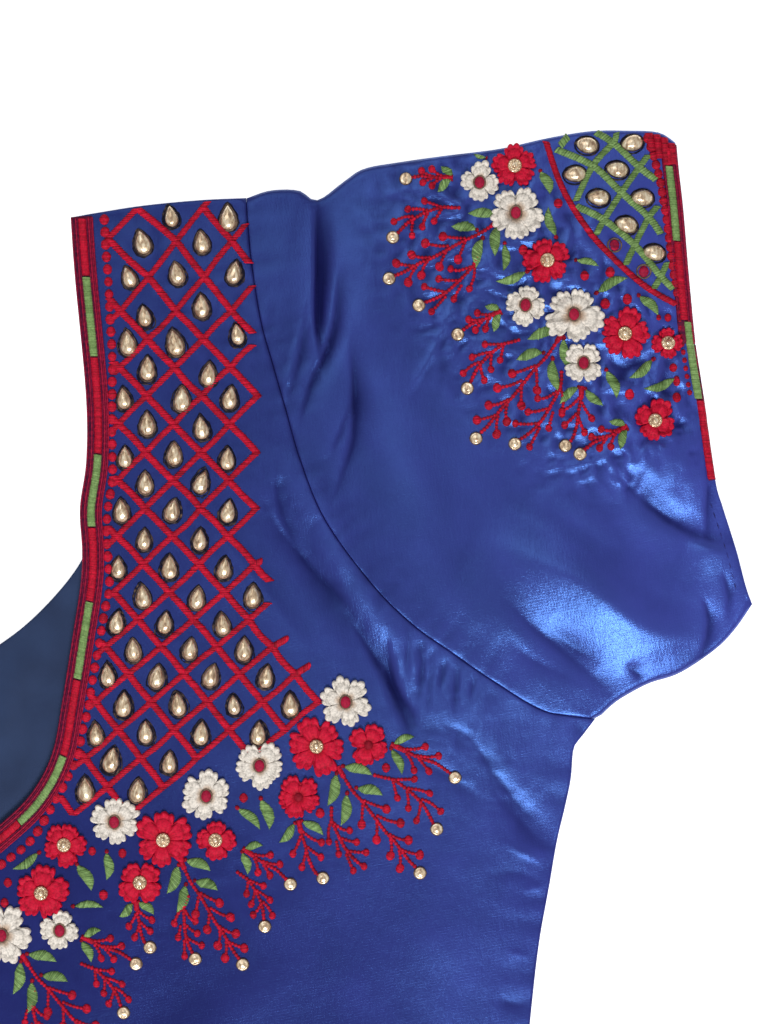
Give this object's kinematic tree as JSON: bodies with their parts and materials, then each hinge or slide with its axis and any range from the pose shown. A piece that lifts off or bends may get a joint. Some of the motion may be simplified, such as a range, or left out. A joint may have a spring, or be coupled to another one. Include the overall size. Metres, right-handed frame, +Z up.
{
  "type": "choli blouse",
  "caption": "Short-sleeved choli blouse laid flat, back up, with a deep U neck, raised stone lattice, embroidered flowers and worked edges.",
  "frame": {"origin": "on the surface the garment lies on, under the middle of its bounding box", "axes": "+X across the garment towards the right sleeve as laid, +Y towards the shoulders, +Z up off the surface"},
  "size_m": [0.6092, 0.3959, 0.0125],
  "materials": {
    "blue_satin": "satin",
    "dark_lining": "matte",
    "red_thread": "satin stitch",
    "green_thread": "satin stitch",
    "cream_thread": "satin stitch",
    "dark_thread": "metallic thread",
    "gold_stone": "polished"
  },
  "bodies": {
    "root": {"back_panel": "blue_satin", "front_left": "blue_satin", "front_right": "blue_satin", "sleeve_left": "blue_satin", "sleeve_right": "blue_satin", "front_lining_left": "dark_lining", "front_lining_right": "dark_lining", "hook_placket": "dark_lining", "back_neck_border": "red_thread", "cuff_border_left": "red_thread", "cuff_border_right": "red_thread"}
  },
  "joints": []
}
